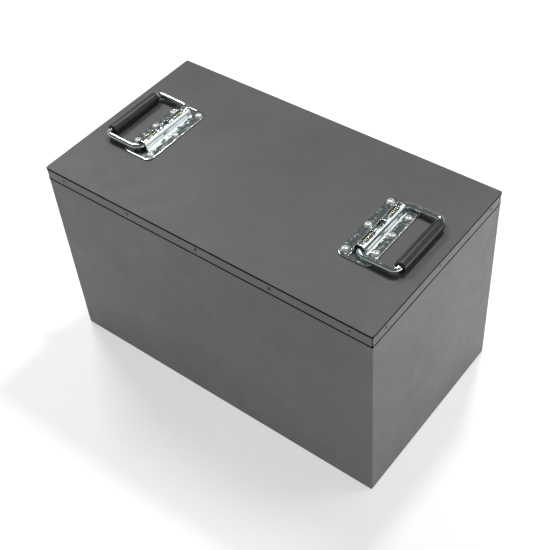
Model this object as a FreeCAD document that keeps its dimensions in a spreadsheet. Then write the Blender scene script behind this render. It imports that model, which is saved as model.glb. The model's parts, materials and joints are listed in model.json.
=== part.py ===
import FreeCAD, Part
import os
import re

# Lithium battery pack in a powder-coated sheet-steel case, millimetres and degrees.
# Frame: origin on the underside of the case, at its middle; +X along the case, +Z up.

SIZES = {
    # how far a cutting tool stands out of what it cuts
    "cut_margin": 1,
    # case and lid
    "case_length": 500,
    "case_width": 276,
    "case_height": 298,
    "sheet": 1.5,
    "edge_radius": 2,
    "flange_depth": 16.6,
    "flange_gap": 0.3,
    "seam": 2.6,
    "lip": 0.5,
    "reveal": 3,
    "reveal_depth": 3,
    "rim_headroom": 0.8,
    "corner_slit": 1.2,
    "gasket_inset": 0.2,
    # lid screws, M4 countersunk, in clinch nuts
    "lid_screw_drop": 9,
    "long_side_pitch": 110,
    "short_side_pitch": 112,
    "lid_screw_head_radius": 3.6,
    "lid_screw_radius": 1.95,
    "lid_screw_length": 9,
    "sink_gap": 0.15,
    "clinch_radius": 4.2,
    "clinch_spigot_radius": 3,
    "clinch_height": 3,
    # handles: plate, pivot, bail and grip
    "pivot_x": 168,
    "pivot_rise": 6.2,
    "plate_length": 116,
    "plate_width": 46.2,
    "plate_offset": -0.6,
    "plate_thick": 2,
    "plate_corner": 9,
    "plate_round": 0.8,
    "ridge_radius": 7.75,
    "ridge_half": 43.5,
    "ridge_foot": 3.9,
    "tunnel_radius": 5.7,
    "mouth_radius": 6.5,
    "rod_radius": 4,
    "running_gap": 0.1,
    "end_bearing_y": 36.5,
    "end_bearing_length": 3,
    "mid_bearing_half": 11,
    "window_y": 25,
    "window_length": 19,
    "window_width": 8,
    "middle_window_length": 13,
    "relief_y": 49.2,
    "relief_length": 11,
    "relief_width": 14,
    "leg_y": 50.5,
    "pin_end_y": 0.75,
    "pin_bend": 12.5,
    "corner_bend": 7.5,
    "bail_reach": 54,
    "bail_tilt": 1.7,
    "grip_radius": 7.5,
    "grip_length": 86,
    "grip_bore": 4.03,
    "grip_round": 1.8,
    "spring_wire": 0.65,
    "spring_mean": 4.85,
    "spring_start": 13,
    "spring_length": 21,
    "spring_pitch": 2.1,
    # handle screws, M5 pan head, with a backing plate and nuts under the lid
    "outer_row": -17,
    "outer_row_y": 47.5,
    "inner_row": 16.5,
    "inner_row_y": 34.5,
    "pan_radius": 4.75,
    "pan_height": 3,
    "pan_round": 1.8,
    "pan_screw_radius": 2.45,
    "pan_screw_length": 12.5,
    "screw_hole": 2.75,
    "backing_thick": 3,
    "nut_corner": 4.62,
    "nut_height": 4.5,
    "nut_bore": 2.55,
    # cross recess of every screw
    "cross_reach": 1.2,
    "cross_slot": 1,
    "cross_depth": 1.4,
    # cells and what holds them
    "cell_thick": 36.7,
    "cell_width": 130,
    "cell_height": 200,
    "cell_pitch": 37.2,
    "cell_round": 3,
    "row_y": 66,
    "pad_thick": 6,
    "post_y": 33,
    "post_radius": 8,
    "post_height": 1.5,
    "post_stud": 3,
    "post_stud_height": 9,
    "end_plate": 10,
    "end_plate_height": 212,
    "strap_low": 60,
    "strap_high": 150,
    "strap_width": 20,
    "strap_thick": 0.8,
    # busbars and their nuts
    "bar_width": 20,
    "bar_thick": 2,
    "bar_overlap": 10,
    "bar_hole": 3.3,
    "bar_nut_corner": 5.77,
    "bar_nut_height": 5,
    "bar_nut_bore": 3.1,
    # insulating board, battery management board and its heat sink
    "board_length": 468,
    "board_width": 264,
    "board_thick": 2,
    "lead_hole": 8,
    "bms_x": -60,
    "bms_length": 180,
    "bms_width": 110,
    "bms_thick": 1.6,
    "standoff": 6,
    "standoff_radius": 3,
    "sink_base": 4,
    "fin_height": 15,
    "fin_thick": 2,
    "fin_pitch": 12,
    "bms_screw_radius": 1.5,
    "bms_head_radius": 2.8,
    "bms_head_height": 2,
    "bms_edge": 6,
    # power leads and through-wall terminals
    "lead_radius": 5,
    "lead_bend": 10,
    "terminal_y": 60,
    "terminal_z": 240,
    "terminal_radius": 17,
    "terminal_thick": 10,
    "spigot_radius": 8,
    "spigot_length": 6,
    "spigot_gap": 0.3,
    "stud_radius": 4,
    "stud_bore": 4.1,
    "stud_out": 32,
    "stud_in": 24,
    "relief_groove": 1,
    "relief_groove_radius": 3.4,
    "stud_nut_corner": 7.5,
    "stud_nut_height": 6.5,
}

CELLS_PER_ROW = 12
ROWS = 2
FINS = 9
SAME_PLACE = 0.01

X_AXIS = FreeCAD.Vector(1, 0, 0)
Y_AXIS = FreeCAD.Vector(0, 1, 0)
Z_AXIS = FreeCAD.Vector(0, 0, 1)
UPRIGHT = FreeCAD.Rotation()
ALONG_X = FreeCAD.Rotation(Y_AXIS, 90)
ALONG_Y = FreeCAD.Rotation(X_AXIS, -90)
FACING = {
    "front": FreeCAD.Rotation(X_AXIS, 90),
    "back": FreeCAD.Rotation(X_AXIS, -90),
    "left": FreeCAD.Rotation(Y_AXIS, -90),
    "right": FreeCAD.Rotation(Y_AXIS, 90),
}

doc = FreeCAD.newDocument("battery_pack")
nodes = []


# ---------------------------------------------------------------- tools

def make_sheet():
    """The spreadsheet that holds every driving dimension under its own alias."""
    sheet = doc.addObject("Spreadsheet::Sheet", "Sizes")
    for row, (alias, size) in enumerate(SIZES.items(), start=1):
        sheet.set(f"A{row}", alias)
        sheet.set(f"B{row}", str(size))
        sheet.setAlias(f"B{row}", alias)
    doc.recompute()
    return sheet


def rule(text):
    """An expression in which each driving dimension's name points at the sheet."""
    return re.sub(r"[a-z_]+", lambda word: in_sheet(word.group()), str(text))


def in_sheet(word):
    return f"Sizes.{word}" if word in SIZES else word


def bind(solid, **sizes):
    for name, text in sizes.items():
        solid.setExpression(name, rule(text))


def put(solid, x=0, y=0, z=0, turn=UPRIGHT):
    """Turn a solid, then tie the place of its own origin to the sheet."""
    solid.Placement = FreeCAD.Placement(FreeCAD.Vector(), turn)
    bind(solid, **{".Placement.Base.x": x, ".Placement.Base.y": y, ".Placement.Base.z": z})
    return solid


def block(name, size, x=0, y=0, bottom=0):
    """A block centred on (x, y) that stands on the height called bottom."""
    solid = doc.addObject("Part::Box", name)
    bind(solid, Length=size[0], Width=size[1], Height=size[2])
    return put(solid, f"({x}) - ({size[0]}) / 2", f"({y}) - ({size[1]}) / 2", bottom)


def rod(name, radius, length, x=0, y=0, z=0, turn=UPRIGHT):
    solid = doc.addObject("Part::Cylinder", name)
    bind(solid, Radius=radius, Height=length)
    return put(solid, x, y, z, turn)


def bend(name, bend_radius, rod_radius, x, y, z, turn):
    """A quarter of a ring, from its own +X round to its own +Y."""
    solid = doc.addObject("Part::Torus", name)
    solid.Angle3 = 90
    bind(solid, Radius1=bend_radius, Radius2=rod_radius)
    return put(solid, x, y, z, turn)


def hexagon(name, corner_radius, height, bore):
    """A hexagon nut that stands on the XY plane."""
    prism = doc.addObject("Part::Prism", name + "_prism")
    prism.Polygon = 6
    bind(prism, Circumradius=corner_radius, Height=height)
    return cut(name, prism, rod(name + "_bore", bore, height))


def fuse(name, *solids):
    joined = doc.addObject("Part::MultiFuse", name)
    joined.Shapes = list(solids)
    return joined


def cut(name, base, *tools):
    cleared = doc.addObject("Part::Cut", name)
    cleared.Base = base
    cleared.Tool = tools[0] if len(tools) == 1 else fuse(name + "_tools", *tools)
    return cleared


def group(name, members):
    together = doc.addObject("Part::Compound", name)
    together.Links = members
    return together


def copy_of(master, name, x=0, y=0, z=0, turn=UPRIGHT):
    link = doc.addObject("App::Link", name)
    link.LinkedObject = master
    return put(link, x, y, z, turn)


def round_off(name, base, radius, wanted):
    """Round those edges of a solid that pass the test."""
    doc.recompute()
    rounded = doc.addObject("Part::Fillet", name)
    rounded.Base = base
    size = SIZES[radius]
    edges = enumerate(base.Shape.Edges, start=1)
    rounded.Edges = [(number, size, size) for number, edge in edges if wanted(edge)]
    return rounded


def is_upright(edge):
    first, last = edge.Vertexes[0].Point, edge.Vertexes[-1].Point
    return abs(first.x - last.x) + abs(first.y - last.y) < SAME_PLACE


def is_level_at(height):
    def test(edge):
        box = edge.BoundBox
        return abs(box.ZMin - height) < SAME_PLACE and abs(box.ZMax - height) < SAME_PLACE
    return test


def node(solid, label):
    solid.Label = label
    nodes.append(solid)
    return solid


# ---------------------------------------------------------------- case and lid

def make_case_body(screw_spots):
    """Welded sheet box whose top rim steps inwards to go up inside the lid."""
    wall_top = "case_height - flange_depth - seam"
    rim_top = "case_height - sheet - lip - reveal - rim_headroom"
    step = "(sheet + flange_gap)"
    wall_size = ("case_length", "case_width", wall_top)
    wall = round_off("case_wall_upright", block("case_wall", wall_size), "edge_radius", is_upright)
    wall = round_off("case_wall_round", wall, "edge_radius", is_level_at(0))
    rim_size = (f"case_length - 2 * {step}", f"case_width - 2 * {step}", f"{rim_top} - sheet")
    rim = round_off("case_rim_round", block("case_rim", rim_size, bottom="sheet"),
                    "edge_radius", is_upright)
    room_size = ("case_length - 2 * sheet", "case_width - 2 * sheet", f"{wall_top} - 2 * sheet")
    throat_size = (f"case_length - 2 * {step} - 2 * sheet",
                   f"case_width - 2 * {step} - 2 * sheet", "case_height")
    openings = [
        block("case_room", room_size, bottom="sheet"),
        block("case_throat", throat_size, bottom="sheet"),
    ]
    for spot, (side, x, y, z) in enumerate(screw_spots):
        openings.append(rod(f"case_nut_hole_{spot}", "clinch_spigot_radius",
                            "6 * sheet", *inward(side, x, y, z, "6 * sheet"), FACING[side]))
    for sign in (-1, 1):
        openings.append(rod(f"case_terminal_hole_{sign + 1}", "spigot_radius + spigot_gap",
                            "4 * sheet", "-case_length / 2 - sheet",
                            f"{sign} * terminal_y", "terminal_z", ALONG_X))
    shell = fuse("case_shell", wall, rim)
    return node(cut("case_body_solid", shell, *openings), "case_body")


def inward(side, x, y, z, depth):
    """The place of something that starts at that depth behind a side of the case."""
    if side == "front":
        return x, f"({y}) + {depth}", z
    if side == "back":
        return x, f"({y}) - {depth}", z
    if side == "left":
        return f"({x}) + {depth}", y, z
    return f"({x}) - {depth}", y, z


def lid_screw_spots():
    """Where the sixteen lid screws meet the lid's outer faces, and which way they look."""
    height = "case_height - lid_screw_drop"
    spots = []
    for step in (-2, -1, 0, 1, 2):
        along = f"{step} * long_side_pitch"
        spots.append(("front", along, "-case_width / 2", height))
        spots.append(("back", along, "case_width / 2", height))
    for step in (-1, 0, 1):
        along = f"{step} * short_side_pitch"
        spots.append(("left", "-case_length / 2", along, height))
        spots.append(("right", "case_length / 2", along, height))
    return spots


def make_lid(screw_spots):
    """Flat top with a thin lip over a narrow reveal, and four flanges with open corners."""
    blank_size = ("case_length", "case_width", "flange_depth")
    blank = round_off("lid_blank_round",
                      block("lid_blank", blank_size, bottom="case_height - flange_depth"),
                      "edge_radius", is_upright)
    neck_size = ("case_length - 2 * reveal_depth", "case_width - 2 * reveal_depth", "reveal")
    band_size = ("case_length + 2 * cut_margin", "case_width + 2 * cut_margin", "reveal")
    neck_bottom = "case_height - lip - reveal"
    reveal = cut("lid_reveal", block("lid_reveal_band", band_size, bottom=neck_bottom),
                 block("lid_neck", neck_size, bottom=neck_bottom))
    flange_room = ("case_length - 2 * sheet", "case_width - 2 * sheet",
                   "flange_depth - lip - reveal - sheet")
    crown_room = ("case_length - 2 * (reveal_depth + sheet)",
                  "case_width - 2 * (reveal_depth + sheet)", "flange_depth - sheet")
    openings = [
        reveal,
        block("lid_flange_room", flange_room, bottom="case_height - flange_depth"),
        block("lid_crown_room", crown_room, bottom="case_height - flange_depth"),
    ]
    openings += [lid_slit(sign_x, sign_y) for sign_x in (-1, 1) for sign_y in (-1, 1)]
    for spot, (side, x, y, z) in enumerate(screw_spots):
        sink = doc.addObject("Part::Cone", f"lid_sink_{spot}")
        bind(sink, Radius1="lid_screw_radius + sink_gap",
             Radius2="lid_screw_head_radius + sink_gap", Height="sheet")
        openings.append(put(sink, *inward(side, x, y, z, "sheet"), FACING[side]))
    for sign in (-1, 1):
        for spot, (along, across) in enumerate(handle_screw_spots()):
            openings.append(rod(f"lid_handle_hole_{sign + 1}_{spot}", "screw_hole", "4 * sheet",
                                f"{sign} * (pivot_x + {along})", across,
                                "case_height - 3 * sheet"))
    return node(cut("lid_solid", blank, *openings), "lid")


def lid_slit(sign_x, sign_y):
    """The narrow open corner between two neighbouring flanges."""
    slit = doc.addObject("Part::Box", f"lid_slit_{sign_x + 1}_{sign_y + 1}")
    bind(slit, Length="4 * reveal_depth", Width="corner_slit", Height="flange_depth - lip - reveal")
    slit.Placement.Rotation = FreeCAD.Rotation(Z_AXIS, 45 * sign_x * sign_y)
    half_diagonal = "(2 * reveal_depth) * cos(45) "
    x = f"{sign_x} * case_length / 2 - {half_diagonal} + {sign_x * sign_y} * corner_slit / 2 * cos(45)"
    y = (f"{sign_y} * case_width / 2 - {sign_x * sign_y} * {half_diagonal}"
         " - corner_slit / 2 * cos(45)")
    bind(slit, **{".Placement.Base.x": x, ".Placement.Base.y": y,
                  ".Placement.Base.z": "case_height - flange_depth"})
    return slit


def make_lid_gasket():
    """Two rubber strips: under the lid's flanges, and in the reveal below its rim."""
    seam_bottom = "case_height - flange_depth - seam"
    reveal_bottom = "case_height - lip - reveal"
    strips = []
    for place, height, bottom, depth in (("seam", "seam", seam_bottom, "(sheet + flange_gap)"),
                                         ("reveal", "reveal", reveal_bottom, "reveal_depth")):
        outer = ("case_length - 2 * gasket_inset", "case_width - 2 * gasket_inset", height)
        inner = (f"case_length - 2 * {depth}", f"case_width - 2 * {depth}", height)
        strips.append(cut(f"gasket_{place}", block(f"gasket_{place}_outer", outer, bottom=bottom),
                          block(f"gasket_{place}_inner", inner, bottom=bottom)))
    return node(group("gasket_strips", strips), "lid_gasket")


def cross(name, size, top):
    """Two crossed slots that sink into a screw's head from the height called top."""
    bottom = f"{top} - cross_depth"
    return [
        block(name + "_slot_a", (size, "cross_slot", "cross_depth"), bottom=bottom),
        block(name + "_slot_b", ("cross_slot", size, "cross_depth"), bottom=bottom),
    ]


def make_lid_screws(screw_spots):
    """Countersunk screws, each one flush with the lid's flange."""
    head = doc.addObject("Part::Cone", "lid_screw_head")
    bind(head, Radius1="lid_screw_radius", Radius2="lid_screw_head_radius", Height="sheet")
    put(head, z="-sheet")
    shank = rod("lid_screw_shank", "lid_screw_radius", "lid_screw_length", z="-lid_screw_length")
    whole = fuse("lid_screw_whole", head, shank)
    screw = cut("lid_screw", whole, *cross("lid_screw", "cross_reach * lid_screw_head_radius", "0"))
    copies = [copy_of(screw, f"lid_screw_{spot}", x, y, z, FACING[side])
              for spot, (side, x, y, z) in enumerate(screw_spots)]
    return node(group("lid_screws_group", copies), "lid_screws")


def make_clinch_nuts(screw_spots):
    """Nuts pressed from inside into the rim of the case, one behind each lid screw."""
    body = rod("clinch_body", "clinch_radius", "clinch_height", z="-clinch_height")
    spigot = rod("clinch_spigot", "clinch_spigot_radius", "sheet")
    bore = rod("clinch_bore", "lid_screw_radius + running_gap", "3 * clinch_height",
               z="-2 * clinch_height")
    nut = cut("clinch_nut", fuse("clinch_whole", body, spigot), bore)
    depth = "(2 * sheet + flange_gap + sheet)"
    copies = [copy_of(nut, f"clinch_nut_{spot}", *inward(side, x, y, z, depth), FACING[side])
              for spot, (side, x, y, z) in enumerate(screw_spots)]
    return node(group("clinch_nuts_group", copies), "clinch_nuts")


# ---------------------------------------------------------------- handles
# Each handle is drawn about its own pivot: +X towards the bail, the lid at -pivot_rise.

def handle_screw_spots():
    outer = [("outer_row", f"{step} * outer_row_y") for step in (-1, 0, 1)]
    inner = [("inner_row", f"{step} * inner_row_y") for step in (-1, 0, 1)]
    return outer + inner


def on_lid(solid, sign, tilt=False):
    """Carry a handle piece to its pivot on the lid, on the +X side or turned to the -X side."""
    turn = FreeCAD.Rotation(Z_AXIS, 0 if sign > 0 else 180)
    if tilt:
        turn = turn.multiply(FreeCAD.Rotation(Y_AXIS, -SIZES["bail_tilt"]))
    return put(solid, f"{sign} * pivot_x", 0, "case_height + pivot_rise", turn)


def make_handle_plate(side, sign):
    """Stamped plate with a raised ridge for the pivot, slots, reliefs and six holes."""
    name = f"plate_{side}"
    top = SIZES["plate_thick"] - SIZES["pivot_rise"]
    sole = round_off(f"{name}_sole_round",
                     block(f"{name}_sole", ("plate_width", "plate_length", "plate_thick"),
                           x="plate_offset", bottom="-pivot_rise"),
                     "plate_corner", is_upright)
    sole = round_off(f"{name}_sole_edge", sole, "plate_round", is_level_at(top))
    arch = rod(f"{name}_arch", "ridge_radius", "2 * ridge_half", y="-ridge_half", turn=ALONG_Y)
    wall_size = ("2 * ridge_radius", "2 * ridge_half", "pivot_rise")
    wall = block(f"{name}_wall", wall_size, bottom="-pivot_rise")
    whole = fuse(f"{name}_whole", sole, arch, wall)

    def is_ridge_foot(edge):
        beside_ridge = abs(abs(edge.BoundBox.Center.x) - SIZES["ridge_radius"]) < SAME_PLACE
        return beside_ridge and is_level_at(top)(edge)

    footed = round_off(f"{name}_footed", whole, "ridge_foot", is_ridge_foot)
    shaft_length = "2 * (ridge_half + cut_margin)"
    openings = [
        block(f"{name}_under_lid", wall_size, bottom="-2 * pivot_rise"),
        rod(f"{name}_shaft", "rod_radius + running_gap", shaft_length,
            y=f"-{shaft_length} / 2", turn=ALONG_Y),
        block(f"{name}_shaft_slot", ("2 * (rod_radius + running_gap)", shaft_length,
                                     "pivot_rise"), bottom="-pivot_rise"),
    ]
    openings.append(block(f"{name}_middle_window",
                          ("window_width", "middle_window_length", "ridge_radius")))
    room = "ridge_half - end_bearing_y - end_bearing_length / 2 + cut_margin"
    coil_room = "end_bearing_y - end_bearing_length / 2 - mid_bearing_half"
    for half in (-1, 1):
        mouth_y = f"{half} * (ridge_half + cut_margin) - {(1 + half) // 2} * ({room})"
        coil_y = f"{half} * mid_bearing_half - {(1 - half) // 2} * ({coil_room})"
        for label, radius, start, length in (("mouth", "mouth_radius", mouth_y, room),
                                             ("coil", "tunnel_radius", coil_y, coil_room)):
            openings.append(rod(f"{name}_{label}_{half + 1}", radius, length, y=start,
                                turn=ALONG_Y))
            openings.append(block(f"{name}_{label}_slot_{half + 1}",
                                  (f"2 * {radius}", length, "pivot_rise"),
                                  y=f"{start} + ({length}) / 2", bottom="-pivot_rise"))
        openings.append(block(f"{name}_window_{half + 1}",
                              ("window_width", "window_length", "ridge_radius"),
                              y=f"{half} * window_y"))
        openings.append(block(f"{name}_relief_{half + 1}",
                              ("relief_width", "relief_length", "pivot_rise"),
                              y=f"{half} * relief_y", bottom="-pivot_rise"))
    for spot, (along, across) in enumerate(handle_screw_spots()):
        openings.append(rod(f"{name}_hole_{spot}", "screw_hole", "pivot_rise",
                            along, across, "-pivot_rise"))
    plate = on_lid(cut(f"{name}_solid", footed, *openings), sign)
    return node(plate, f"handle_plate_{side}")


def make_handle_bail(side, sign):
    """One bent round rod: two pivot pins, two legs and the bar that carries the grip."""
    name = f"bail_{side}"
    pin_length = "leg_y - pin_bend - pin_end_y"
    leg_length = "bail_reach - pin_bend - corner_bend"
    pieces = [rod(f"{name}_bar", "rod_radius", "2 * (leg_y - corner_bend)", "bail_reach",
                  "-(leg_y - corner_bend)", 0, ALONG_Y)]
    for half in (-1, 1):
        pin_y = "pin_end_y" if half > 0 else "-(leg_y - pin_bend)"
        pieces.append(rod(f"{name}_pin_{half + 1}", "rod_radius", pin_length, y=pin_y,
                          turn=ALONG_Y))
        pieces.append(rod(f"{name}_leg_{half + 1}", "rod_radius", leg_length, "pin_bend",
                          f"{half} * leg_y", 0, ALONG_X))
        pin_turn = FreeCAD.Rotation(Z_AXIS, 90 if half > 0 else 180)
        pieces.append(bend(f"{name}_pin_bend_{half + 1}", "pin_bend", "rod_radius", "pin_bend",
                           f"{half} * (leg_y - pin_bend)", 0, pin_turn))
        corner_turn = FreeCAD.Rotation(Z_AXIS, 0 if half > 0 else -90)
        pieces.append(bend(f"{name}_corner_{half + 1}", "corner_bend", "rod_radius",
                           "bail_reach - corner_bend", f"{half} * (leg_y - corner_bend)", 0,
                           corner_turn))
    bail = on_lid(fuse(f"{name}_solid", *pieces), sign, tilt=True)
    return node(bail, f"handle_bail_{side}")


def make_handle_grip(side, sign):
    """Thick plastic sleeve moulded on the bail's bar."""
    name = f"grip_{side}"
    skin = rod(f"{name}_skin", "grip_radius", "grip_length", "bail_reach", "-grip_length / 2", 0,
               ALONG_Y)
    skin = round_off(f"{name}_round", skin, "grip_round",
                     lambda edge: edge.BoundBox.YLength < SAME_PLACE)
    bore = rod(f"{name}_bore", "grip_bore", "grip_length + 2 * cut_margin", "bail_reach",
               "-grip_length / 2 - cut_margin", 0, ALONG_Y)
    return node(on_lid(cut(f"{name}_solid", skin, bore), sign, tilt=True), f"handle_grip_{side}")


def make_handle_springs(side, sign):
    """Two coil springs round the pivot pins, which fold the bail down again."""
    name = f"springs_{side}"
    coils = []
    for half in (-1, 1):
        coil = doc.addObject("Part::Helix", f"{name}_path_{half + 1}")
        bind(coil, Radius="spring_mean", Pitch="spring_pitch", Height="spring_length")
        start = doc.addObject("Part::Circle", f"{name}_wire_{half + 1}")
        bind(start, Radius="spring_wire")
        put(start, x="spring_mean", turn=FreeCAD.Rotation(X_AXIS, 90))
        sweep = doc.addObject("Part::Sweep", f"{name}_coil_{half + 1}")
        sweep.Sections = [start]
        sweep.Spine = (coil, ["Edge1"])
        sweep.Solid = True
        sweep.Frenet = True
        begin = "spring_start" if half > 0 else "-spring_start - spring_length"
        put(sweep, y=begin, turn=ALONG_Y)
        coils.append(sweep)
    springs = on_lid(group(f"{name}_group", coils), sign)
    return node(springs, f"handle_springs_{side}")


def make_handle_screws(side, sign):
    """Pan-head screws with a cross recess, whose heads sit on the handle's plate."""
    name = f"pan_screw_{side}"
    head = round_off(f"{name}_head_round", rod(f"{name}_head", "pan_radius", "pan_height"),
                     "pan_round", is_level_at(SIZES["pan_height"]))
    shank = rod(f"{name}_shank", "pan_screw_radius", "pan_screw_length", z="-pan_screw_length")
    screw = cut(name, fuse(f"{name}_whole", head, shank),
                *cross(name, "cross_reach * pan_radius", "pan_height"))
    copies = [copy_of(screw, f"{name}_{spot}", along, across, "-pivot_rise + plate_thick")
              for spot, (along, across) in enumerate(handle_screw_spots())]
    return node(on_lid(group(f"{name}_group", copies), sign), f"handle_screws_{side}")


def make_handle_backing(side, sign):
    """Steel plate under the lid that spreads the pull of the handle."""
    name = f"backing_{side}"
    bottom = "-pivot_rise - sheet - backing_thick"
    sole = round_off(f"{name}_round",
                     block(f"{name}_sole", ("plate_width", "plate_length", "backing_thick"),
                           x="plate_offset", bottom=bottom),
                     "plate_corner", is_upright)
    holes = [rod(f"{name}_hole_{spot}", "screw_hole", "backing_thick", along, across, bottom)
             for spot, (along, across) in enumerate(handle_screw_spots())]
    return node(on_lid(cut(f"{name}_solid", sole, *holes), sign), f"handle_backing_{side}")


def make_handle_nuts(side, sign):
    name = f"handle_nut_{side}"
    nut = hexagon(name, "nut_corner", "nut_height", "nut_bore")
    bottom = "-pivot_rise - sheet - backing_thick - nut_height"
    copies = [copy_of(nut, f"{name}_{spot}", along, across, bottom)
              for spot, (along, across) in enumerate(handle_screw_spots())]
    return node(on_lid(group(f"{name}_group", copies), sign), f"handle_nuts_{side}")


# ---------------------------------------------------------------- cells

CELL_BOTTOM = "(sheet + pad_thick)"
CELL_TOP = f"({CELL_BOTTOM} + cell_height)"
POST_TOP = f"({CELL_TOP} + post_height)"


def cell_x(place):
    return f"({place - (CELLS_PER_ROW - 1) / 2} * cell_pitch)"


def row_sign(row):
    return 1 if row == 0 else -1


def make_cell(row, place):
    """Prismatic cell: a rounded can with two posts and their threaded studs on top."""
    number = row * CELLS_PER_ROW + place + 1
    name = f"cell_{number:02d}"
    x, y = cell_x(place), f"{row_sign(row)} * row_y"
    can = round_off(f"{name}_can_round",
                    block(f"{name}_can", ("cell_thick", "cell_width", "cell_height"), x, y,
                          CELL_BOTTOM), "cell_round", is_upright)
    pieces = [can]
    for half in (-1, 1):
        post_y = f"{y} + {half} * post_y"
        pieces.append(rod(f"{name}_post_{half + 1}", "post_radius", "post_height", x, post_y,
                          CELL_TOP))
        pieces.append(rod(f"{name}_stud_{half + 1}", "post_stud", "post_stud_height", x, post_y,
                          POST_TOP))
    return node(fuse(f"{name}_solid", *pieces), name)


def make_cell_spacers():
    """Thin insulating sheets between the cells, and a thicker one between the two rows."""
    size = ("cell_pitch - cell_thick", "cell_width", "cell_height")
    sheets = [block("spacer_middle", (f"{CELLS_PER_ROW} * cell_pitch", "2 * row_y - cell_width",
                                      "cell_height"), bottom=CELL_BOTTOM)]
    for row in range(ROWS):
        for gap in range(CELLS_PER_ROW - 1):
            sheets.append(block(f"spacer_{row}_{gap}", size, cell_x(gap + 0.5),
                                f"{row_sign(row)} * row_y", CELL_BOTTOM))
    return node(group("cell_spacers_group", sheets), "cell_spacers")


def make_bottom_pad():
    size = ("board_length", "board_width", "pad_thick")
    return node(block("bottom_pad_solid", size, bottom="sheet"), "bottom_pad")


STACK_HALF = f"({CELLS_PER_ROW} * cell_pitch / 2)"


def make_end_plate(side, sign):
    """Aluminium plate that closes one end of the stack and carries the board above it."""
    size = ("end_plate", "2 * row_y + cell_width", "end_plate_height")
    x = f"{sign} * ({STACK_HALF} + end_plate / 2)"
    return node(block(f"end_plate_{side}_solid", size, x, 0, CELL_BOTTOM), f"end_plate_{side}")


def make_pack_straps():
    """Two steel bands that hold the stack and its end plates together."""
    bands = []
    for height in ("strap_low", "strap_high"):
        length = f"2 * ({STACK_HALF} + end_plate)"
        width = "(2 * row_y + cell_width)"
        outer = block(f"{height}_outer", (f"{length} + 2 * strap_thick",
                                          f"{width} + 2 * strap_thick", "strap_width"),
                      bottom=height)
        inner = block(f"{height}_inner", (length, width, "strap_width"), bottom=height)
        bands.append(cut(f"{height}_band", outer, inner))
    return node(group("pack_straps_group", bands), "pack_straps")


def make_busbars():
    """Copper bars that join the cells in series, down one row and back up the other."""
    size = ("cell_pitch + 2 * bar_overlap", "bar_width", "bar_thick")
    holes = [rod(f"bar_hole_{half + 1}", "bar_hole", "bar_thick", x=f"{half} * cell_pitch / 2")
             for half in (-1, 1)]
    bar = cut("busbar", block("busbar_blank", size), *holes)
    bars = []
    for row in range(ROWS):
        for gap in range(CELLS_PER_ROW - 1):
            half = 1 if (gap + row) % 2 else -1
            y = f"{row_sign(row)} * row_y + {half * row_sign(row)} * post_y"
            bars.append(copy_of(bar, f"busbar_{row}_{gap}", cell_x(gap + 0.5), y, POST_TOP))
    link_size = ("bar_width", "2 * (row_y - post_y) + 2 * bar_overlap", "bar_thick")
    last = cell_x(CELLS_PER_ROW - 1)
    link_holes = [rod(f"bar_link_hole_{half + 1}", "bar_hole", "bar_thick", last,
                      f"{half} * (row_y - post_y)", POST_TOP) for half in (-1, 1)]
    bars.append(cut("busbar_link", block("busbar_link_blank", link_size, last, 0, POST_TOP),
                    *link_holes))
    return node(group("busbars_group", bars), "busbars")


def make_cell_nuts():
    """One nut on each cell stud."""
    nut = hexagon("cell_nut", "bar_nut_corner", "bar_nut_height", "bar_nut_bore")
    nuts = []
    for row in range(ROWS):
        for place in range(CELLS_PER_ROW):
            for half in (-1, 1):
                y = f"{row_sign(row)} * row_y + {half} * post_y"
                nuts.append(copy_of(nut, f"cell_nut_{row}_{place}_{half + 1}", cell_x(place), y,
                                    f"{POST_TOP} + bar_thick"))
    return node(group("cell_nuts_group", nuts), "cell_nuts")


# ---------------------------------------------------------------- boards and terminals

BOARD_BOTTOM = f"({CELL_BOTTOM} + end_plate_height)"
BOARD_TOP = f"({BOARD_BOTTOM} + board_thick)"
BMS_TOP = f"({BOARD_TOP} + standoff + bms_thick)"
LEAD_Y = "(row_y + post_y)"


def bms_corners():
    for sign_x in (-1, 1):
        for sign_y in (-1, 1):
            x = f"bms_x + {sign_x} * (bms_length / 2 - bms_edge)"
            y = f"{sign_y} * (bms_width / 2 - bms_edge)"
            yield f"{sign_x + 1}_{sign_y + 1}", x, y


def make_top_board():
    """Insulating board over the busbars, with a hole for each power lead."""
    blank = block("top_board_blank", ("board_length", "board_width", "board_thick"),
                  bottom=BOARD_BOTTOM)
    holes = [rod(f"top_board_hole_{half + 1}", "lead_hole", "board_thick", cell_x(0),
                 f"{half} * {LEAD_Y}", BOARD_BOTTOM) for half in (-1, 1)]
    return node(cut("top_board_solid", blank, *holes), "top_board")


def make_bms_board():
    size = ("bms_length", "bms_width", "bms_thick")
    blank = block("bms_blank", size, "bms_x", 0, f"{BOARD_TOP} + standoff")
    holes = [rod(f"bms_hole_{label}", "bms_screw_radius + running_gap", "bms_thick", x, y,
                 f"{BOARD_TOP} + standoff") for label, x, y in bms_corners()]
    return node(cut("bms_board_solid", blank, *holes), "bms_board")


def make_heat_sink():
    """Finned aluminium block on the management board, clear of its corner screws."""
    length = "bms_length - 5 * bms_edge"
    pieces = [block("sink_base", (length, f"{FINS} * fin_pitch - bms_edge", "sink_base"),
                    "bms_x", 0, BMS_TOP)]
    for fin in range(FINS):
        y = f"{fin - (FINS - 1) / 2} * (fin_pitch - 1)"
        pieces.append(block(f"sink_fin_{fin}", (length, "fin_thick", "fin_height"), "bms_x", y,
                            f"{BMS_TOP} + sink_base"))
    return node(fuse("heat_sink_solid", *pieces), "heat_sink")


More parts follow.
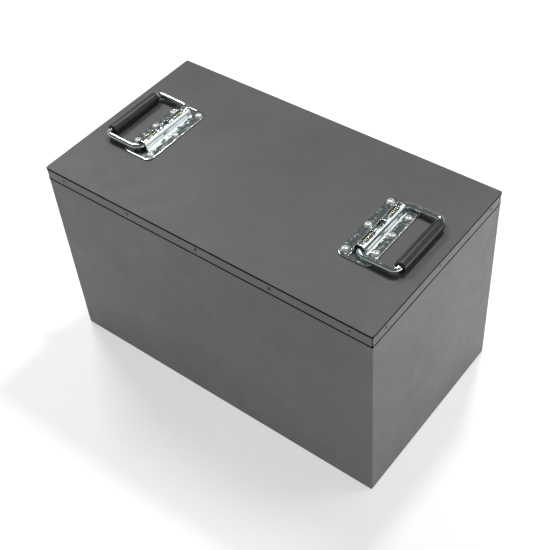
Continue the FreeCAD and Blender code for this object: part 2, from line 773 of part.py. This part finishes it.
def make_bms_fasteners():
    """Four posts on the insulating board and the screws that hold the board on them."""
    parts = []
    for label, x, y in bms_corners():
        post = rod(f"bms_post_{label}", "standoff_radius", "standoff", x, y, BOARD_TOP)
        bore = rod(f"bms_post_bore_{label}", "bms_screw_radius + running_gap", "standoff", x, y,
                   BOARD_TOP)
        parts.append(cut(f"bms_post_cut_{label}", post, bore))
        shank = rod(f"bms_shank_{label}", "bms_screw_radius", "standoff", x, y,
                    f"{BMS_TOP} - standoff")
        head = rod(f"bms_head_{label}", "bms_head_radius", "bms_head_height", x, y, BMS_TOP)
        parts.append(fuse(f"bms_screw_{label}", head, shank))
    return node(group("bms_fasteners_group", parts), "bms_fasteners")


def make_power_leads():
    """Two short leads: up through the board from the end posts, then over to the terminals."""
    lug_top = f"{POST_TOP} + post_stud_height + running_gap"
    leads = []
    for half in (-1, 1):
        name = f"lead_{half + 1}"
        x, far_y, near_y = cell_x(0), f"{half} * {LEAD_Y}", f"{half} * terminal_y"
        rise = f"terminal_z - lead_bend - ({lug_top})"
        across = f"{LEAD_Y} - terminal_y - 2 * lead_bend"
        inner_end = "-case_length / 2 + stud_in + running_gap"
        run = f"{x} - lead_bend - ({inner_end})"
        low_y = f"{half} * (terminal_y + lead_bend) - {(1 - half) // 2} * ({across})"
        up_turn = FreeCAD.Rotation(Z_AXIS, 90 * half).multiply(FreeCAD.Rotation(X_AXIS, 90))
        side_turn = FreeCAD.Rotation(Z_AXIS, 0 if half < 0 else -90)
        leads.append(fuse(
            name,
            rod(f"{name}_up", "lead_radius", rise, x, far_y, lug_top),
            bend(f"{name}_top", "lead_bend", "lead_radius", x,
                 f"{half} * ({LEAD_Y} - lead_bend)", "terminal_z - lead_bend", up_turn),
            rod(f"{name}_across", "lead_radius", across, x, low_y, "terminal_z", ALONG_Y),
            bend(f"{name}_side", "lead_bend", "lead_radius", f"{x} - lead_bend",
                 f"{half} * (terminal_y + lead_bend)", "terminal_z", side_turn),
            rod(f"{name}_out", "lead_radius", run, inner_end, near_y, "terminal_z", ALONG_X),
        ))
    return node(group("power_leads_group", leads), "power_leads")


def terminal_spots():
    return (("positive", 1), ("negative", -1))


def make_terminal_base(pole, sign):
    """Insulating collar outside the wall, with a spigot through it."""
    name = f"{pole}_base"
    y = f"{sign} * terminal_y"
    collar = rod(f"{name}_collar", "terminal_radius", "terminal_thick",
                 "-case_length / 2 - terminal_thick", y, "terminal_z", ALONG_X)
    spigot = rod(f"{name}_spigot", "spigot_radius", "spigot_length", "-case_length / 2", y,
                 "terminal_z", ALONG_X)
    collar = round_off(f"{name}_round", collar, "edge_radius",
                       lambda edge: edge.BoundBox.XMax < -SIZES["case_length"] / 2 - 1
                       and edge.BoundBox.XLength < SAME_PLACE)
    bore = rod(f"{name}_bore", "stud_bore", "3 * terminal_thick",
               "-case_length / 2 - 2 * terminal_thick", y, "terminal_z", ALONG_X)
    whole = fuse(f"{name}_whole", collar, spigot)
    return node(cut(f"{name}_solid", whole, bore), f"terminal_base_{pole}")


def make_terminal_studs():
    """Brass studs through the collars, with a thread relief beyond each outer nut."""
    studs = []
    for pole, sign in terminal_spots():
        y = f"{sign} * terminal_y"
        core = rod(f"{pole}_stud_core", "relief_groove_radius", "stud_out + stud_in",
                   "-case_length / 2 - stud_out", y, "terminal_z", ALONG_X)
        free = "stud_out - terminal_thick - stud_nut_height - relief_groove"
        outer = rod(f"{pole}_stud_free", "stud_radius", free, "-case_length / 2 - stud_out", y,
                    "terminal_z", ALONG_X)
        inner = rod(f"{pole}_stud_inner", "stud_radius",
                    "terminal_thick + stud_nut_height + stud_in",
                    "-case_length / 2 - terminal_thick - stud_nut_height", y, "terminal_z",
                    ALONG_X)
        studs.append(fuse(f"{pole}_stud", core, outer, inner))
    return node(group("terminal_studs_group", studs), "terminal_studs")


def make_terminal_nuts():
    """A nut outside and a nut inside on each stud."""
    nut = hexagon("stud_nut", "stud_nut_corner", "stud_nut_height", "stud_bore")
    copies = []
    for pole, sign in terminal_spots():
        y = f"{sign} * terminal_y"
        outside = "-case_length / 2 - terminal_thick - stud_nut_height"
        inside = "-case_length / 2 + spigot_length"
        for label, x in (("outside", outside), ("inside", inside)):
            copies.append(copy_of(nut, f"stud_nut_{pole}_{label}", x, y, "terminal_z", ALONG_X))
    return node(group("terminal_nuts_group", copies), "terminal_nuts")


# ---------------------------------------------------------------- assembly

def make_everything():
    spots = lid_screw_spots()
    make_case_body(spots)
    make_lid(spots)
    make_lid_gasket()
    make_lid_screws(spots)
    make_clinch_nuts(spots)
    for side, sign in (("left", -1), ("right", 1)):
        make_handle_plate(side, sign)
        make_handle_bail(side, sign)
        make_handle_grip(side, sign)
        make_handle_springs(side, sign)
        make_handle_screws(side, sign)
        make_handle_backing(side, sign)
        make_handle_nuts(side, sign)
        make_end_plate(side, sign)
    for row in range(ROWS):
        for place in range(CELLS_PER_ROW):
            make_cell(row, place)
    make_cell_spacers()
    make_bottom_pad()
    make_pack_straps()
    make_busbars()
    make_cell_nuts()
    make_top_board()
    make_bms_board()
    make_heat_sink()
    make_bms_fasteners()
    make_power_leads()
    for pole, sign in terminal_spots():
        make_terminal_base(pole, sign)
    make_terminal_studs()
    make_terminal_nuts()


def check_everything():
    """Stop before anything is written if a feature failed or a sub-part is not sound."""
    failed = [item.Name for item in doc.Objects
              if "Invalid" in item.State or "Error" in item.State]
    unsound = [item.Label for item in nodes if item.Shape.isNull() or not item.Shape.isValid()]
    if failed or unsound:
        raise RuntimeError(f"failed features {failed}, unsound sub-parts {unsound}")


def write_everything():
    os.makedirs("parts", exist_ok=True)
    for item in nodes:
        item.Shape.exportStep(f"parts/{item.Label}.step")
        print(f"{item.Label:24s} solids {len(item.Shape.Solids):3d} volume {item.Shape.Volume:12.1f}")


make_sheet()
make_everything()
doc.recompute()
check_everything()
write_everything()
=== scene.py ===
import json
import math

import bmesh
import bpy
from mathutils import Euler, Matrix, Vector
from mathutils import noise as field


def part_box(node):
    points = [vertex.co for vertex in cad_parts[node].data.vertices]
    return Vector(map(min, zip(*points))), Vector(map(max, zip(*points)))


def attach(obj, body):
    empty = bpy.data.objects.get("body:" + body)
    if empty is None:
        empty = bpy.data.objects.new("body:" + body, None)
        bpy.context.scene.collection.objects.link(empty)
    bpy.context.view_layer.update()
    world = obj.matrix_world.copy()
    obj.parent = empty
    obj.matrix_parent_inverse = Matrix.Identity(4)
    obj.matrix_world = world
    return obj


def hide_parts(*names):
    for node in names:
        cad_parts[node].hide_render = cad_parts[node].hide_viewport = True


# A dark grey sheet-steel battery pack with two folding handles, in metres, in the CAD frame.

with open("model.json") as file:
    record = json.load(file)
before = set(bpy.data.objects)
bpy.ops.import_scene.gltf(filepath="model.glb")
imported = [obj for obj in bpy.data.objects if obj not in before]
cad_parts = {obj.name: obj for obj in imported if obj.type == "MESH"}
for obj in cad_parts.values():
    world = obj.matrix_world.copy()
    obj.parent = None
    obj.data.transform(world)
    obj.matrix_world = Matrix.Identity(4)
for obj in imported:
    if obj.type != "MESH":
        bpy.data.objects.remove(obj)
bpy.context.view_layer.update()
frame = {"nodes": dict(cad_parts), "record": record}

MM = 0.001

# ---------------------------------------------------------------- camera and studio

CAMERA_PLACE = (0.65004, -0.73718, 1.15144)
CAMERA_TURN = (43.662, 3.643, 37.629)
CAMERA_LENS = 68.79
SENSOR = 36.0
VIEW_REACH = 100.0

FLOOR_HALF = 12.0
FLOOR_GLOW = 0.64


def make_camera():
    data = bpy.data.cameras.new("camera")
    data.lens = CAMERA_LENS
    data.sensor_width = SENSOR
    data.clip_end = VIEW_REACH
    camera = bpy.data.objects.new("camera", data)
    camera.location = CAMERA_PLACE
    camera.rotation_euler = Euler([math.radians(angle) for angle in CAMERA_TURN])
    bpy.context.scene.collection.objects.link(camera)
    bpy.context.scene.camera = camera


def make_softbox(name, place, target, size, power):
    """A rectangular area light at a place, turned to look at its target."""
    data = bpy.data.lights.new(name, "AREA")
    data.shape = "RECTANGLE"
    data.size, data.size_y = size
    data.energy = power
    light = bpy.data.objects.new(name, data)
    light.location = place
    look = Vector(target) - Vector(place)
    light.rotation_euler = look.to_track_quat("-Z", "Y").to_euler()
    bpy.context.scene.collection.objects.link(light)


SKY_STRENGTH = 0.5
HORIZON = (1.9, 1.9, 1.9)
LOW_SKY = (1.2, 1.2, 1.2)
DIM_SKY = (0.22, 0.235, 0.235)
OVERHEAD = (0.20, 0.21, 0.21)


def make_sky():
    """White at the horizon and dim overhead, so bright metal has something to mirror."""
    world = bpy.data.worlds.new("studio")
    bpy.context.scene.world = world
    world.use_nodes = True
    tree = world.node_tree
    background = tree.nodes["Background"]
    direction = tree.nodes.new("ShaderNodeTexCoord")
    split = tree.nodes.new("ShaderNodeSeparateXYZ")
    fade = tree.nodes.new("ShaderNodeValToRGB")
    tree.links.new(direction.outputs["Generated"], split.inputs[0])
    tree.links.new(split.outputs["Z"], fade.inputs["Fac"])
    tree.links.new(fade.outputs["Color"], background.inputs["Color"])
    stops = fade.color_ramp.elements
    stops[0].position, stops[0].color = 0.0, (*HORIZON, 1)
    stops[1].position, stops[1].color = 1.0, (*OVERHEAD, 1)
    for place, colour in ((0.08, LOW_SKY), (0.25, DIM_SKY), (0.8, DIM_SKY)):
        stop = stops.new(place)
        stop.color = (*colour, 1)
    background.inputs["Strength"].default_value = SKY_STRENGTH


def make_floor():
    bpy.ops.mesh.primitive_plane_add(size=2 * FLOOR_HALF, location=(0, 0, 0))
    floor = bpy.context.object
    floor.name = "floor"
    floor.data.materials.append(plain_floor())


# ---------------------------------------------------------------- materials

def new_material(name):
    material = bpy.data.materials.new(name)
    material.use_nodes = True
    return material, material.node_tree, material.node_tree.nodes["Principled BSDF"]


def noise(tree, scale, detail=3, roughness=0.55):
    """A noise texture on the object's own coordinates, scale in features per metre."""
    place = tree.nodes.new("ShaderNodeTexCoord")
    texture = tree.nodes.new("ShaderNodeTexNoise")
    texture.inputs["Scale"].default_value = scale
    texture.inputs["Detail"].default_value = detail
    texture.inputs["Roughness"].default_value = roughness
    tree.links.new(place.outputs["Object"], texture.inputs["Vector"])
    return texture.outputs["Fac"]


def ramp(tree, value, stops):
    """A colour ramp; each stop is (position, grey or colour)."""
    node = tree.nodes.new("ShaderNodeValToRGB")
    elements = node.color_ramp.elements
    while len(elements) < len(stops):
        elements.new(0.5)
    for element, (position, colour) in zip(elements, stops):
        element.position = position
        element.color = (*colour, 1) if isinstance(colour, tuple) else (colour,) * 3 + (1,)
    tree.links.new(value, node.inputs["Fac"])
    return node.outputs["Color"]


def bump(tree, shader, *layers):
    """Chains bump layers, each (height, distance in metres), into the shader's normal."""
    previous = None
    for height, distance in layers:
        node = tree.nodes.new("ShaderNodeBump")
        node.inputs["Strength"].default_value = 1
        node.inputs["Distance"].default_value = distance
        tree.links.new(height, node.inputs["Height"])
        if previous:
            tree.links.new(previous, node.inputs["Normal"])
        previous = node.outputs["Normal"]
    tree.links.new(previous, shader.inputs["Normal"])


def plain_floor():
    """Pale studio floor with a little light of its own, so that shadows on it stay soft."""
    material, tree, shader = new_material("studio_floor")
    tone = ramp(tree, noise(tree, 3), [(0.3, 0.86), (0.7, 0.88)])
    tree.links.new(tone, shader.inputs["Base Color"])
    tree.links.new(tone, shader.inputs["Emission Color"])
    shader.inputs["Emission Strength"].default_value = FLOOR_GLOW
    shader.inputs["Roughness"].default_value = 0.9
    shader.inputs["Specular IOR Level"].default_value = 0.1
    return material


def powder_coat(name, dark, light):
    """Satin powder coat: a fine orange-peel skin over flat steel, slightly uneven in tone."""
    material, tree, shader = new_material(name)
    tree.links.new(ramp(tree, noise(tree, 7, 8, 0.72), [(0.3, dark), (0.7, light)]),
                   shader.inputs["Base Color"])
    tree.links.new(ramp(tree, noise(tree, 40, 3), [(0.3, 0.44), (0.7, 0.52)]),
                   shader.inputs["Roughness"])
    bump(tree, shader, (noise(tree, 1100, 2), 0.00014), (noise(tree, 260, 2), 0.00006))
    return material


def plated(name, base, tint, rough, wave, metal=1, dull=None):
    """Plated steel with slow waves, faint tarnish and patches that are duller than the rest."""
    material, tree, shader = new_material(name)
    shader.inputs["Metallic"].default_value = metal
    tree.links.new(ramp(tree, noise(tree, 60, 3), [(0.35, base), (0.75, tint)]),
                   shader.inputs["Base Color"])
    dullest = dull or 1.9 * rough
    tree.links.new(ramp(tree, noise(tree, 220, 4), [(0.42, rough), (0.72, dullest)]),
                   shader.inputs["Roughness"])
    bump(tree, shader, (noise(tree, 70, 2), wave), (noise(tree, 900, 2), 0.00001))
    return material


def moulded(name, dark, light, rough, grain=0.00004, specular=0.5):
    """Moulded plastic or rubber with a fine matt grain."""
    material, tree, shader = new_material(name)
    shader.inputs["Specular IOR Level"].default_value = specular
    tree.links.new(ramp(tree, noise(tree, 45, 4), [(0.3, dark), (0.7, light)]),
                   shader.inputs["Base Color"])
    tree.links.new(ramp(tree, noise(tree, 200, 3), [(0.3, rough), (0.7, rough + 0.08)]),
                   shader.inputs["Roughness"])
    bump(tree, shader, (noise(tree, 1500, 2), grain))
    return material


def make_materials():
    return {
        "case_paint": powder_coat("case_paint", (0.098, 0.102, 0.096), (0.133, 0.135, 0.126)),
        # Nearly black rubber fills the lid's seam and the reveal under its top edge: partly the
        # seal's own colour, partly painted shade standing in for the shadow in those gaps.
        "gasket_rubber": moulded("gasket_rubber", 0.004, 0.006, 0.8, specular=0.04),
        "dull_steel": plated("dull_steel", (0.12, 0.12, 0.117), (0.19, 0.187, 0.18), 0.36,
                             0.00001),
        "zinc_steel": plated("zinc_steel", (0.92, 0.92, 0.89), (0.97, 0.96, 0.91), 0.25, 0.00002,
                             metal=0.35),
        "chrome_plate": plated("chrome_plate", (0.68, 0.77, 0.79), (0.84, 0.86, 0.83), 0.05, 0.0003,
                               dull=0.3),
        "spring_steel": plated("spring_steel", (0.72, 0.68, 0.54), (0.84, 0.80, 0.66), 0.18,
                               0.00001),
        "grip_plastic": moulded("grip_plastic", 0.014, 0.020, 0.36),
        "aluminium": plated("aluminium", (0.70, 0.71, 0.72), (0.76, 0.77, 0.78), 0.35, 0.00002),
        "cell_wrap": moulded("cell_wrap", (0.02, 0.09, 0.30), (0.03, 0.12, 0.36), 0.3),
        "glass_board": moulded("glass_board", (0.36, 0.42, 0.20), (0.44, 0.50, 0.26), 0.4),
        "foam": moulded("foam", 0.03, 0.05, 0.85, 0.0002),
        "copper": plated("copper", (0.85, 0.46, 0.30), (0.70, 0.36, 0.24), 0.25, 0.00002),
        "circuit_board": moulded("circuit_board", (0.01, 0.12, 0.04), (0.02, 0.16, 0.06), 0.35),
        "lead_jacket": moulded("lead_jacket", 0.015, 0.02, 0.5),
        "red_plastic": moulded("red_plastic", (0.45, 0.012, 0.01), (0.52, 0.02, 0.015), 0.3),
        "black_plastic": moulded("black_plastic", 0.012, 0.016, 0.3),
        "brass": plated("brass", (0.80, 0.60, 0.30), (0.66, 0.48, 0.22), 0.22, 0.00002),
    }


def finish_nodes(materials):
    """Every CAD node takes the material of its slot in the record."""
    for subpart in frame["record"]["subparts"]:
        piece = frame["nodes"][subpart["node"]]
        piece.data.materials.clear()
        piece.data.materials.append(materials[subpart["material_slot"]])


# ---------------------------------------------------------------- mesh tools

WELD = 0.01 * MM

# How wide a driver's recess is above the head and at its floor, beside its nominal size.
CROSS_MOUTH_SCALE = 1.5
CROSS_FLOOR_SCALE = 0.45


def turned(rows, steps=40, shape=None, closed=False):
    """A mesh turned round its own Z axis from rows of (radius, height); shape varies the radius."""
    solid = bmesh.new()
    rings = []
    for radius, height in rows:
        if radius == 0:
            rings.append([solid.verts.new((0, 0, height))] * steps)
            continue
        ring = []
        for step in range(steps):
            angle = math.tau * step / steps
            reach = shape(radius, height, angle) if shape else radius
            ring.append(solid.verts.new((reach * math.cos(angle), reach * math.sin(angle), height)))
        rings.append(ring)
    pairs = list(zip(rings, rings[1:]))
    if closed:
        pairs.append((rings[-1], rings[0]))
    for lower, upper in pairs:
        for step in range(steps):
            beside = (step + 1) % steps
            corners = dict.fromkeys((lower[step], lower[beside], upper[beside], upper[step]))
            if len(corners) > 2:
                solid.faces.new(list(corners))
    return settled(solid)


def settled(solid):
    """The mesh of a bmesh, with its normals outwards."""
    bmesh.ops.recalc_face_normals(solid, faces=solid.faces)
    mesh = bpy.data.meshes.new("mesh")
    solid.to_mesh(mesh)
    solid.free()
    return mesh


def cross_cutter(arm, half_width, top, depth):
    """A cross that narrows downwards, to sink a driver's recess into a screw's head."""
    solid = bmesh.new()
    outlines = []
    for height, scale in ((top + depth, CROSS_MOUTH_SCALE), (top - depth, CROSS_FLOOR_SCALE)):
        reach, half = arm * scale, half_width * (0.6 + 0.4 * scale)
        corners = ((reach, -half), (reach, half), (half, half))
        outline = []
        for quarter in range(4):
            turn = Matrix.Rotation(math.radians(90 * quarter), 3, "Z")
            outline += [solid.verts.new(turn @ Vector((x, y, height))) for x, y in corners]
        outlines.append(outline)
    upper, lower = outlines
    count = len(upper)
    for step in range(count):
        beside = (step + 1) % count
        solid.faces.new((upper[step], upper[beside], lower[beside], lower[step]))
    solid.faces.new(upper)
    solid.faces.new(lower)
    return settled(solid)


def carved(mesh, cutter):
    """The mesh with the cutter taken out of it."""
    host = bpy.data.objects.new("host", mesh)
    tool = bpy.data.objects.new("tool", cutter)
    for helper in (host, tool):
        bpy.context.scene.collection.objects.link(helper)
    carve = host.modifiers.new("carve", "BOOLEAN")
    carve.operation = "DIFFERENCE"
    carve.solver = "EXACT"
    carve.object = tool
    bpy.context.view_layer.update()
    result = bpy.data.meshes.new_from_object(
        host.evaluated_get(bpy.context.evaluated_depsgraph_get()))
    for helper in (host, tool):
        bpy.data.objects.remove(helper)
    return result


def loose_parts(node):
    """The low and high corners of each separate solid in a CAD node, in order of place."""
    shape = bmesh.new()
    shape.from_mesh(frame["nodes"][node].data)
    bmesh.ops.remove_doubles(shape, verts=shape.verts, dist=WELD)
    shape.verts.ensure_lookup_table()
    seen = set()
    boxes = []
    for start in shape.verts:
        if start.index in seen:
            continue
        seen.add(start.index)
        reached, members = [start], []
        while reached:
            vert = reached.pop()
            members.append(vert.co.copy())
            for edge in vert.link_edges:
                other = edge.other_vert(vert)
                if other.index not in seen:
                    seen.add(other.index)
                    reached.append(other)
        boxes.append((Vector([min(place[axis] for place in members) for axis in range(3)]),
                      Vector([max(place[axis] for place in members) for axis in range(3)])))
    shape.free()
    return sorted(boxes, key=lambda box: [round(value, 5) for value in box[0]])


def body_of_node(node):
    for body, members in frame["record"]["behaviour"]["bodies"].items():
        if node in members:
            return body
    return "root"


def slot_of_node(node):
    for subpart in frame["record"]["subparts"]:
        if subpart["node"] == node:
            return subpart["material_slot"]
    return None


def make_piece(name, copies, materials, node, crease=35):
    """One piece made of placed copies of meshes, standing for a CAD node."""
    whole = bmesh.new()
    for mesh, matrix in copies:
        start = len(whole.verts)
        whole.from_mesh(mesh)
        whole.verts.ensure_lookup_table()
        bmesh.ops.transform(whole, matrix=matrix, verts=whole.verts[start:])
    mesh = bpy.data.meshes.new(name)
    whole.to_mesh(mesh)
    whole.free()
    mesh.shade_smooth()
    mesh.set_sharp_from_angle(angle=math.radians(crease))
    piece = bpy.data.objects.new(name, mesh)
    bpy.context.scene.collection.objects.link(piece)
    mesh.materials.append(materials[slot_of_node(node)])
    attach(piece, body_of_node(node))
    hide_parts(node)


def facing(direction):
    """The turn that carries +Z to a direction."""
    return Vector(direction).to_track_quat("Z", "Y").to_matrix().to_4x4()


# ---------------------------------------------------------------- screws

# Each profile is (radius, height) in mm, from the middle of the head to the tip.
PAN_HEAD = [(0, 3.0), (1.5, 2.96), (2.8, 2.72), (3.8, 2.25), (4.4, 1.6), (4.7, 0.9), (4.75, 0.3),
            (4.65, 0.0), (2.45, 0.0), (2.45, -12.2), (2.1, -12.5), (0, -12.5)]
SUNK_HEAD = [(0, 0.0), (3.3, 0.0), (3.5, -0.08), (3.6, -0.25), (3.2, -0.55), (1.95, -1.5),
             (1.95, -8.7), (1.6, -9.0), (0, -9.0)]
PAN_CROSS = {"arm": 2.5 * MM, "half_width": 0.7 * MM, "top": 2.9 * MM, "depth": 1.9 * MM}
SUNK_CROSS = {"arm": 2.0 * MM, "half_width": 0.7 * MM, "top": 0, "depth": 1.6 * MM}

# Screws are never driven home at the same angle.
PAN_FIRST_TURN, PAN_TURN = math.radians(15), math.radians(37)
LID_FIRST_TURN, LID_TURN = math.radians(20), math.radians(53)


def in_metres(rows):
    return [(radius * MM, height * MM) for radius, height in rows]


def make_pan_screws(side, materials):
    """Pan-head screws with a tapered cross recess, each turned by its own angle."""
    node = f"handle_screws_{side}"
    screw = carved(turned(in_metres(PAN_HEAD)), cross_cutter(**PAN_CROSS))
    copies = []
    for number, (low, high) in enumerate(loose_parts(node)):
        middle = (low + high) / 2
        place = Vector((middle.x, middle.y, high.z - PAN_HEAD[0][1] * MM))
        turn = Matrix.Rotation(PAN_FIRST_TURN + PAN_TURN * number, 4, "Z")
        copies.append((screw, Matrix.Translation(place) @ turn))
    make_piece(f"pan_screws_{side}", copies, materials, node)


def make_lid_screws(materials):
    """Countersunk screws, flush with the lid's flanges."""
    screw = carved(turned(in_metres(SUNK_HEAD)), cross_cutter(**SUNK_CROSS))
    copies = []
    for number, (low, high) in enumerate(loose_parts("lid_screws")):
        middle, size = (low + high) / 2, high - low
        axis = 0 if size.x > size.y else 1
        outward = Vector((0, 0, 0))
        outward[axis] = 1 if middle[axis] > 0 else -1
        place = middle.copy()
        place[axis] = high[axis] if middle[axis] > 0 else low[axis]
        turn = Matrix.Rotation(LID_FIRST_TURN + LID_TURN * number, 4, "Z")
        copies.append((screw, Matrix.Translation(place) @ facing(outward) @ turn))
    make_piece("lid_screw_set", copies, materials, "lid_screws")


# ---------------------------------------------------------------- terminals

THREAD_PITCH = 1.25 * MM
THREAD_DEPTH = 0.7 * MM
ROWS_PER_PITCH = 6
STUD_BORE = 4.1 * MM
STUD_STEPS = 32
NUT_BEVEL = 0.6 * MM
NUT_FACE_INSET = 0.2 * MM
NUT_STEPS = 72
HEX_SIDE = math.radians(60)


def side_of(place):
    """The outward direction, along X, of the case wall nearest to a place."""
    return Vector((1 if place.x > 0 else -1, 0, 0))


def make_studs(materials):
    """Power studs with a rolled thread and a plain bevelled tip at each end."""
    node = "terminal_studs"
    copies = []
    for low, high in loose_parts(node):
        middle, length, radius = (low + high) / 2, high.x - low.x, (high.z - low.z) / 2

        def thread(reach, height, angle):
            along = (height / THREAD_PITCH - angle / math.tau) % 1
            return min(reach, radius - THREAD_DEPTH * (1 - abs(2 * along - 1)))

        bevel = THREAD_PITCH
        count = round(length / THREAD_PITCH * ROWS_PER_PITCH)
        rows = [(0, -length / 2)]
        for step in range(count + 1):
            height = length * (step / count - 0.5)
            to_tip = length / 2 - abs(height)
            rows.append((radius - max(0, bevel - to_tip), height))
        rows.append((0, length / 2))
        stud = turned(rows, STUD_STEPS, thread)
        copies.append((stud, Matrix.Translation(middle) @ facing(side_of(middle))))
    make_piece("power_studs", copies, materials, node)


def make_terminal_nuts(materials):
    """Hexagon nuts whose corners are turned off at both faces."""
    node = "terminal_nuts"
    copies = []
    for low, high in loose_parts(node):
        middle, thick = (low + high) / 2, high.x - low.x
        corner = max(high.y - low.y, high.z - low.z) / 2
        flat = corner * math.cos(HEX_SIDE / 2)

        def hexagon(reach, height, angle):
            from_flat = (angle + HEX_SIDE / 2) % HEX_SIDE - HEX_SIDE / 2
            return min(reach, flat / math.cos(from_flat)) if reach > STUD_BORE else reach

        half, face = thick / 2, flat - NUT_FACE_INSET
        rows = [(STUD_BORE, -half), (face, -half), (corner, NUT_BEVEL - half),
                (corner, half - NUT_BEVEL), (face, half), (STUD_BORE, half)]
        nut = turned(rows, NUT_STEPS, hexagon, closed=True)
        copies.append((nut, Matrix.Translation(middle) @ facing(side_of(middle))))
    make_piece("hexagon_nuts", copies, materials, node, crease=20)


# ---------------------------------------------------------------- handles

# Each grip end's rounding, as (distance from the end, drop below the full radius) in mm.
GRIP_END = [(0.0, -1.9), (0.25, -1.1), (0.7, -0.5), (1.3, -0.15), (2.2, 0.0)]
GRIP_BORE = 4.06 * MM
GRIP_BELLY = 0.15 * MM
BELLY_STEPS = 16
BORE_BEVEL = (0.4 * MM, 0.5 * MM)
LINE_DEPTH = 0.1 * MM
LINE_HALF_WIDTH = math.radians(3)
LINE_BAND = 0.5 * MM
GRIP_STEPS = 120


def make_grip(side, materials):
    """A moulded sleeve: softly rounded ends, a slight belly and a fine parting line."""
    node = f"handle_grip_{side}"
    low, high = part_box(node)
    middle = (Vector(low) + Vector(high)) / 2
    half = (high[1] - low[1]) / 2
    outer = (high[0] - low[0]) / 2
    along_bevel, across_bevel = BORE_BEVEL
    end_length = GRIP_END[-1][0] * MM
    ends = [(outer + drop * MM - GRIP_BELLY, along * MM) for along, drop in GRIP_END]
    rows = [(GRIP_BORE, -half + along_bevel), (GRIP_BORE + across_bevel, -half)]
    rows += [(radius, -half + along) for radius, along in ends]
    for step in range(1, BELLY_STEPS):
        share = step / BELLY_STEPS
        rows.append((outer - GRIP_BELLY + GRIP_BELLY * math.sin(math.pi * share),
                     -half + end_length + share * 2 * (half - end_length)))
    rows += [(radius, half - along) for radius, along in reversed(ends)]
    rows += [(GRIP_BORE + across_bevel, half), (GRIP_BORE, half - along_bevel)]
    line_edge = math.cos(LINE_HALF_WIDTH)

    def with_parting_line(radius, height, angle):
        if radius < outer - LINE_BAND:
            return radius
        near_line = max(0, abs(math.cos(angle)) - line_edge)
        return radius - LINE_DEPTH * near_line / (1 - line_edge)

    sleeve = turned(rows, GRIP_STEPS, with_parting_line, closed=True)
    along_y = Matrix.Translation(middle) @ Matrix.Rotation(math.radians(-90), 4, "X")
    make_piece(f"grip_{side}", [(sleeve, along_y)], materials, node)


PLATE_VOXEL = 0.45 * MM
SOFTENING = 0.5
SOFTENING_PASSES = 4
PLATE_WAVE = 0.13 * MM
WAVES_PER_METRE = 55
RIPPLE = 0.4
RIPPLES_PER_WAVE = 2.7
STILL_HEIGHT = 1.2 * MM
# Nothing nearer to the pin's axis than this is moved, so the bore keeps its running gap.
CALM_RADIUS = 6.3 * MM


def make_plate(side, materials):
    """The pressed handle plate with soft edges and the slow waves of stamped, plated steel."""
    node = f"handle_plate_{side}"
    helper = bpy.data.objects.new("helper", frame["nodes"][node].data.copy())
    bpy.context.scene.collection.objects.link(helper)
    remesh = helper.modifiers.new("remesh", "REMESH")
    remesh.mode = "VOXEL"
    remesh.voxel_size = PLATE_VOXEL
    remesh.use_smooth_shade = True
    smooth = helper.modifiers.new("smooth", "SMOOTH")
    smooth.factor = SOFTENING
    smooth.iterations = SOFTENING_PASSES
    bpy.context.view_layer.update()
    mesh = bpy.data.meshes.new_from_object(
        helper.evaluated_get(bpy.context.evaluated_depsgraph_get()))
    bpy.data.objects.remove(helper)
    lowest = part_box(node)[0][2]
    axis = [sum(ends) / 2 for ends in zip(*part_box(f"handle_springs_{side}"))]
    for vert in mesh.vertices:
        above = vert.co.z - lowest
        from_axis = math.hypot(vert.co.x - axis[0], vert.co.z - axis[2])
        if above > STILL_HEIGHT and from_axis > CALM_RADIUS:
            place = vert.co * WAVES_PER_METRE
            wave = field.noise(place) + RIPPLE * field.noise(place * RIPPLES_PER_WAVE)
            vert.co.z += PLATE_WAVE * wave
    make_piece(f"plate_{side}", [(mesh, Matrix.Identity(4))], materials, node, crease=80)


# ---------------------------------------------------------------- the scene

# Name, place, what it looks at, width and height in metres, watts.
SOFTBOXES = [
    ("key_behind", (-0.09, 1.03, 2.24), (0, 0, 0.3), (0.2, 0.2), 16),
    ("back_left", (-1.37, 0.55, 2.06), (0, 0, 0.3), (0.6, 0.6), 19),
    ("right_low", (1.7, -0.4, 0.45), (0.25, 0, 0.13), (0.9, 0.35), 1.3),
    ("side_right_low", (0.8, 0.3, 0.2), (0.25, 0, 0.18), (0.4, 0.18), 0.9),
    ("card_right", (0.9, 0.72, 1.1), (0.17, 0, 0.3), (0.7, 1.1), 2.9),
]


def light_the_studio():
    make_sky()
    for softbox in SOFTBOXES:
        make_softbox(*softbox)


make_camera()
light_the_studio()
make_floor()
finishes = make_materials()
finish_nodes(finishes)
make_lid_screws(finishes)
make_studs(finishes)
make_terminal_nuts(finishes)
for hand in ("left", "right"):
    make_plate(hand, finishes)
    make_pan_screws(hand, finishes)
    make_grip(hand, finishes)

bpy.context.scene.view_settings.view_transform = "Standard"
